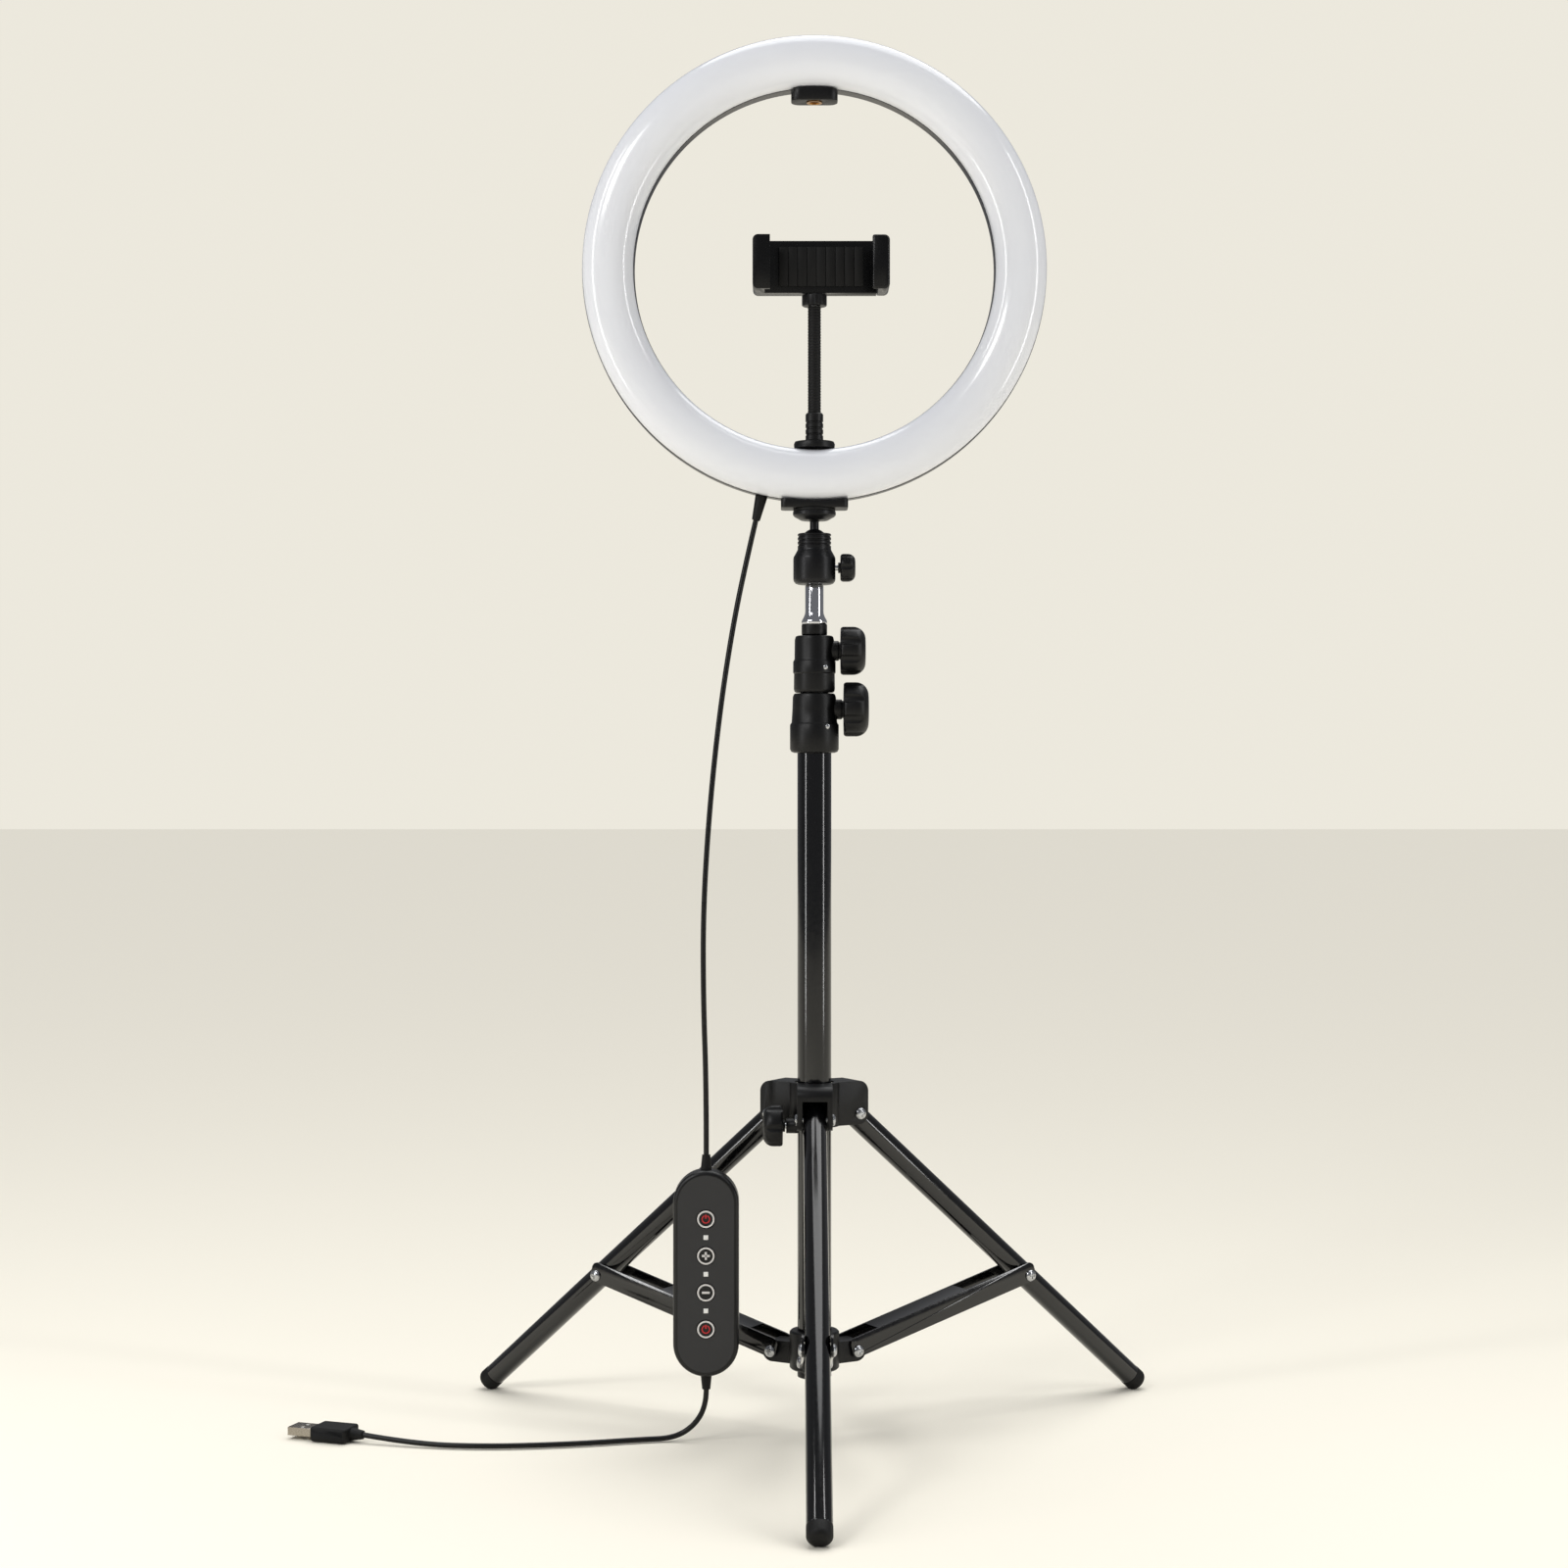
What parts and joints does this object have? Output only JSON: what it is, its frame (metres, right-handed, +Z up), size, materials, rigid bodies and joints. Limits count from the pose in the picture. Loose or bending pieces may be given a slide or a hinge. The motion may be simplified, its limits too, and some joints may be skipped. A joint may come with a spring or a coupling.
{
  "type": "ring light",
  "caption": "Ring light on a folding tripod stand with a telescopic mast, ball head, gooseneck phone holder and a USB lead with a hand controller.",
  "frame": {"origin": "on the column's axis at floor level, midway between the three feet", "axes": "+Z up along the column, -Y the way the light shines, +X to the right of someone who faces the light"},
  "size_m": [0.4922, 0.3476, 0.781],
  "materials": {
    "housing_plastic": "satin moulded",
    "diffuser_plastic": "translucent white, smooth",
    "board": "solder mask",
    "led": "phosphor gel",
    "steel": "nickel plated",
    "brass": "turned",
    "rubber": "matte",
    "lead_jacket": "smooth jacket",
    "gooseneck_cover": "ribbed sleeve",
    "black_metal": "black anodised",
    "nylon": "moulded",
    "chrome": "polished",
    "black_tube": "gloss black enamel",
    "stand_plastic": "fine moulded grain",
    "holder_plastic": "satin moulded",
    "controller_plastic": "satin moulded",
    "button_plastic": "satin with pale ring",
    "plug_shell": "nickel plated"
  },
  "bodies": {
    "column": {"outer_column": "black_tube", "column_end_cap": "stand_plastic", "lower_clamp": "stand_plastic", "lower_collar": "stand_plastic", "collar_bolts": "steel"},
    "lower_knob": {"lower_clamp_knob": "stand_plastic"},
    "middle_mast": {"middle_tube": "black_tube", "middle_bush": "nylon", "upper_clamp": "stand_plastic"},
    "upper_knob": {"upper_clamp_knob": "stand_plastic"},
    "inner_mast": {"inner_tube": "black_tube", "inner_bush": "nylon", "spigot": "chrome"},
    "ball_head": {"ball_housing": "black_metal", "ball_seat": "nylon"},
    "ball_lock": {"ball_knob": "stand_plastic"},
    "head": {"ball_stud": "black_metal", "base_bracket": "housing_plastic", "rear_housing": "housing_plastic", "diffuser": "diffuser_plastic", "led_board": "board", "led_chips": "led", "housing_screws": "steel", "top_boss": "housing_plastic", "brass_insert": "brass", "lead_boot": "rubber", "neck_ferrule": "housing_plastic"},
    "neck_1": {"gooseneck_1": "gooseneck_cover"},
    "neck_2": {"gooseneck_2": "gooseneck_cover"},
    "neck_3": {"gooseneck_3": "gooseneck_cover"},
    "nut": {"holder_nut": "housing_plastic"},
    "holder": {"holder_body": "holder_plastic", "holder_pads": "rubber"},
    "jaw": {"holder_jaw": "holder_plastic", "holder_spring": "steel"},
    "hub": {"hub": "stand_plastic", "hub_bush": "nylon", "hub_bolts": "steel"},
    "hub_lock": {"hub_knob": "stand_plastic"},
    "lead": {"lead_upper": "lead_jacket", "controller_front": "controller_plastic", "controller_back": "controller_plastic", "controller_board": "board", "controller_boots": "rubber", "lead_lower": "lead_jacket", "usb_overmould": "rubber", "usb_shell": "plug_shell"},
    "leg_1": {"leg_1": "black_tube", "foot_cap_1": "rubber"},
    "brace_1": {"brace_1": "black_tube"},
    "leg_2": {"leg_2": "black_tube", "foot_cap_2": "rubber"},
    "brace_2": {"brace_2": "black_tube"},
    "leg_3": {"leg_3": "black_tube", "foot_cap_3": "rubber"},
    "brace_3": {"brace_3": "black_tube"},
    "button_1": {"button_1": "button_plastic"},
    "button_2": {"button_2": "button_plastic"},
    "button_3": {"button_3": "button_plastic"},
    "button_4": {"button_4": "button_plastic"}
  },
  "joints": [
    {"name": "middle_slide", "type": "slide", "parent": "column", "child": "middle_mast", "axis": [0, 0, 1], "range_m": [0, 0.28]},
    {"name": "inner_slide", "type": "slide", "parent": "middle_mast", "child": "inner_mast", "axis": [0, 0, 1], "range_m": [0, 0.28]},
    {"name": "lower_knob_turn", "type": "hinge", "parent": "column", "child": "lower_knob", "pos_m": [0, 0, 0.40475], "axis": [1, 0, 0], "range_deg": [0, 270]},
    {"name": "upper_knob_turn", "type": "hinge", "parent": "middle_mast", "child": "upper_knob", "pos_m": [0, 0, 0.4375], "axis": [1, 0, 0], "range_deg": [0, 270]},
    {"name": "ball_pan", "type": "hinge", "parent": "inner_mast", "child": "ball_head", "pos_m": [0, 0, 0.4984], "axis": [0, 0, 1], "range_deg": [-20, 35]},
    {"name": "ball_lock_turn", "type": "hinge", "parent": "ball_head", "child": "ball_lock", "pos_m": [0, 0, 0.484], "axis": [1, 0, 0], "range_deg": [0, 270]},
    {"name": "head_tilt", "type": "hinge", "parent": "ball_head", "child": "head", "pos_m": [0, 0, 0.4984], "axis": [1, 0, 0], "range_deg": [-30, 30]},
    {"name": "lead_hang", "type": "hinge", "parent": "head", "child": "lead", "pos_m": [-0.03304, 0.002, 0.50971], "axis": [1, 0, 0], "range_deg": [-31, 31]},
    {"name": "neck_bend_1", "type": "hinge", "parent": "head", "child": "neck_1", "pos_m": [0, 0, 0.571], "axis": [1, 0, 0], "range_deg": [-12, 12]},
    {"name": "neck_bend_2", "type": "hinge", "parent": "neck_1", "child": "neck_2", "pos_m": [0, 0, 0.593], "axis": [1, 0, 0], "range_deg": [-12.5, 12.5]},
    {"name": "neck_bend_3", "type": "hinge", "parent": "neck_2", "child": "neck_3", "pos_m": [0, 0, 0.615], "axis": [1, 0, 0], "range_deg": [-12.5, 12.5]},
    {"name": "nut_turn", "type": "hinge", "parent": "neck_3", "child": "nut", "pos_m": [0, 0, 0.633], "axis": [0, 0, 1], "range_deg": [0, 180]},
    {"name": "holder_turn", "type": "hinge", "parent": "neck_3", "child": "holder", "pos_m": [0, 0, 0.64], "axis": [0, 0, 1], "range_deg": [-90, 90]},
    {"name": "jaw_slide", "type": "slide", "parent": "holder", "child": "jaw", "axis": [1, 0, 0], "range_m": [0, 0.022], "stiffness_N_per_m": 200, "springref_m": -0.03, "deforming": ["holder_spring"]},
    {"name": "hub_slide", "type": "slide", "parent": "column", "child": "hub", "axis": [0, 0, 1], "range_m": [0, 0.1442]},
    {"name": "hub_lock_turn", "type": "hinge", "parent": "hub", "child": "hub_lock", "pos_m": [-0.0176, -0.0146, 0.1736], "axis": [-1, 0, 0], "range_deg": [0, 270]},
    {"name": "leg_fold_1", "type": "hinge", "parent": "hub", "child": "leg_1", "pos_m": [0, -0.0245, 0.178], "axis": [1, 0, 0], "range_deg": [-1, 50]},
    {"name": "brace_fold_1", "type": "hinge", "parent": "column", "child": "brace_1", "pos_m": [0, -0.024, 0.0445], "axis": [-1, 0, 0], "range_deg": [-1, 76]},
    {"name": "leg_fold_2", "type": "hinge", "parent": "hub", "child": "leg_2", "pos_m": [0.02122, 0.01225, 0.178], "axis": [-0.5, 0.866, 0], "range_deg": [-1, 50]},
    {"name": "brace_fold_2", "type": "hinge", "parent": "column", "child": "brace_2", "pos_m": [0.02079, 0.012, 0.0445], "axis": [0.5, -0.866, 0], "range_deg": [-1, 76]},
    {"name": "leg_fold_3", "type": "hinge", "parent": "hub", "child": "leg_3", "pos_m": [-0.02122, 0.01225, 0.178], "axis": [-0.5, -0.866, 0], "range_deg": [-1, 50]},
    {"name": "brace_fold_3", "type": "hinge", "parent": "column", "child": "brace_3", "pos_m": [-0.02079, 0.012, 0.0445], "axis": [0.5, 0.866, 0], "range_deg": [-1, 76]},
    {"name": "button_1_press", "type": "slide", "parent": "lead", "child": "button_1", "axis": [0, 1, 0], "range_m": [0, 0.0005], "stiffness_N_per_m": 800, "springref_m": -0.0005},
    {"name": "button_2_press", "type": "slide", "parent": "lead", "child": "button_2", "axis": [0, 1, 0], "range_m": [0, 0.0005], "stiffness_N_per_m": 800, "springref_m": -0.0005},
    {"name": "button_3_press", "type": "slide", "parent": "lead", "child": "button_3", "axis": [0, 1, 0], "range_m": [0, 0.0005], "stiffness_N_per_m": 800, "springref_m": -0.0005},
    {"name": "button_4_press", "type": "slide", "parent": "lead", "child": "button_4", "axis": [0, 1, 0], "range_m": [0, 0.0005], "stiffness_N_per_m": 800, "springref_m": -0.0005}
  ],
  "couplings": [
    {"joint": "leg_fold_1", "follows": "hub_slide", "rad_per_m": 5.9368},
    {"joint": "brace_fold_1", "follows": "hub_slide", "rad_per_m": 9.0837},
    {"joint": "leg_fold_2", "follows": "hub_slide", "rad_per_m": 5.9368},
    {"joint": "brace_fold_2", "follows": "hub_slide", "rad_per_m": 9.0837},
    {"joint": "leg_fold_3", "follows": "hub_slide", "rad_per_m": 5.9368},
    {"joint": "brace_fold_3", "follows": "hub_slide", "rad_per_m": 9.0837},
    {"joint": "neck_bend_2", "follows": "neck_bend_1", "ratio": 1},
    {"joint": "neck_bend_3", "follows": "neck_bend_1", "ratio": 1},
    {"joint": "lead_hang", "follows": "head_tilt", "ratio": -1}
  ]
}
